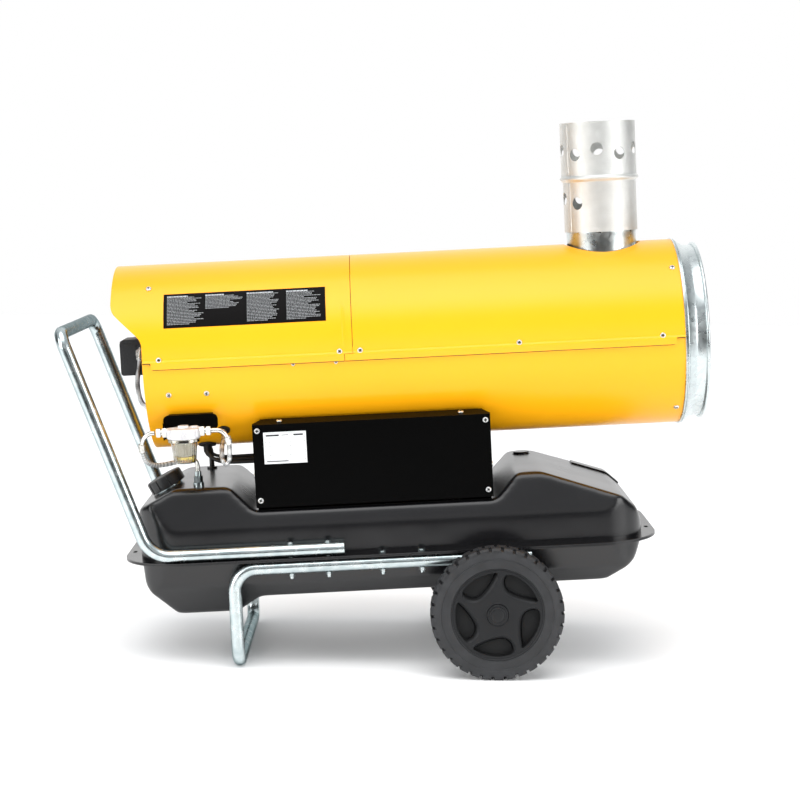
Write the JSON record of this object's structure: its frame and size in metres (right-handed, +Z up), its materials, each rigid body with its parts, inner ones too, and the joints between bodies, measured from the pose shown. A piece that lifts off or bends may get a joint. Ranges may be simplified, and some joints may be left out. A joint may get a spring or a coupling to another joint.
{
  "type": "indirect fired space heater",
  "caption": "Mobile indirect oil fired air heater: round yellow casing with flue on a wheeled fuel tank with tube handle and leg.",
  "frame": {"origin": "floor level, below the middle of the heater's length and width", "axes": "+X towards the warm air outlet, +Z up, the fuel filter is on the -Y side"},
  "size_m": [1.0952, 0.518, 0.9231],
  "materials": {
    "yellow_paint": "gloss powder coat",
    "galvanized": "galvanized",
    "panel_black": "printed film",
    "zinc": "zinc plated",
    "dark_steel": "heat tinted",
    "brass": "machined",
    "ceramic": "glazed ceramic",
    "motor_paint": "satin",
    "black_steel": "satin powder coat",
    "fan_aluminium": "pressed sheet",
    "cast_aluminium": "die cast",
    "clear_bowl": "clear plastic",
    "filter_paper": "pleated paper",
    "plated_brass": "nickel plated",
    "braid": "braided",
    "black_rubber": "matte",
    "black_plastic": "moulded",
    "silver_plate": "printed",
    "grey_plastic": "moulded",
    "red_plastic": "moulded",
    "tyre": "moulded rubber",
    "rim_plastic": "moulded"
  },
  "bodies": {
    "heater": {"lower_shell": "yellow_paint", "rear_upper_shell": "yellow_paint", "front_upper_shell": "yellow_paint", "outlet_spigot": "galvanized", "label_panel": "panel_black", "casing_screws": "zinc", "combustion_chamber": "dark_steel", "heat_exchanger": "dark_steel", "flue_pipe": "galvanized", "blast_tube": "dark_steel", "nozzle": "brass", "nozzle_line": "brass", "electrodes": "ceramic", "fan_motor": "motor_paint", "motor_bracket": "black_steel", "intake_guard": "black_steel", "fuel_pump": "motor_paint", "solenoid_valve": "black_plastic", "tank_upper": "black_steel", "tank_lower": "black_steel", "filler_neck": "zinc", "drain_plug": "zinc", "suction_fitting": "zinc", "return_fitting": "zinc", "filter_bracket": "black_steel", "filter_head": "cast_aluminium", "filter_bowl": "clear_bowl", "filter_element": "filter_paper", "filter_unions": "plated_brass", "suction_hose": "braid", "supply_hose": "braid", "return_hose": "black_rubber", "grommets": "black_rubber", "cable_bundle": "black_rubber", "box_base": "black_steel", "box_cover": "black_steel", "cover_screws": "zinc", "rating_plate": "silver_plate", "ignition_unit": "black_plastic", "burner_control": "grey_plastic", "switch_housing": "black_plastic", "cable_gland": "black_plastic", "handle": "zinc", "leg_frame": "zinc", "axle": "zinc", "frame_bolts": "zinc", "frame_nuts": "zinc"},
    "near_wheel": {"near_tyre": "tyre", "near_rim": "rim_plastic", "near_hub_cap": "rim_plastic"},
    "far_wheel": {"far_tyre": "tyre", "far_rim": "rim_plastic", "far_hub_cap": "rim_plastic"},
    "rotor": {"motor_shaft": "zinc", "fan": "fan_aluminium"},
    "cap_seal": {"filler_seal": "black_rubber"},
    "cap": {"filler_cap": "black_plastic"},
    "reset": {"reset_button": "red_plastic"},
    "rocker": {"switch_rocker": "red_plastic"}
  },
  "joints": [
    {"name": "near_wheel_spin", "type": "hinge", "parent": "heater", "child": "near_wheel", "pos_m": [0.18857, -0.229, 0.11], "axis": [0, 1, 0], "continuous": true},
    {"name": "far_wheel_spin", "type": "hinge", "parent": "heater", "child": "far_wheel", "pos_m": [0.18857, 0.229, 0.11], "axis": [0, 1, 0], "continuous": true},
    {"name": "fan_spin", "type": "hinge", "parent": "heater", "child": "rotor", "pos_m": [-0.24842, 0, 0.51414], "axis": [0.9979, 0, 0.0645], "continuous": true},
    {"name": "cap_lift", "type": "slide", "parent": "heater", "child": "cap_seal", "axis": [-0.5096, 0, 0.8604], "range_m": [0, 0.018]},
    {"name": "cap_turn", "type": "hinge", "parent": "cap_seal", "child": "cap", "pos_m": [-0.37891, -0.045, 0.29817], "axis": [-0.5096, 0, 0.8604], "range_deg": [0, 90]},
    {"name": "reset_press", "type": "slide", "parent": "heater", "child": "reset", "axis": [0, -1, 0], "range_m": [0, 0.003], "stiffness_N_per_m": 400},
    {"name": "switch_rock", "type": "hinge", "parent": "heater", "child": "rocker", "pos_m": [-0.11686, 0.156, 0.33927], "axis": [-0.0645, 0, 0.9979], "range_deg": [-10, 10]}
  ]
}
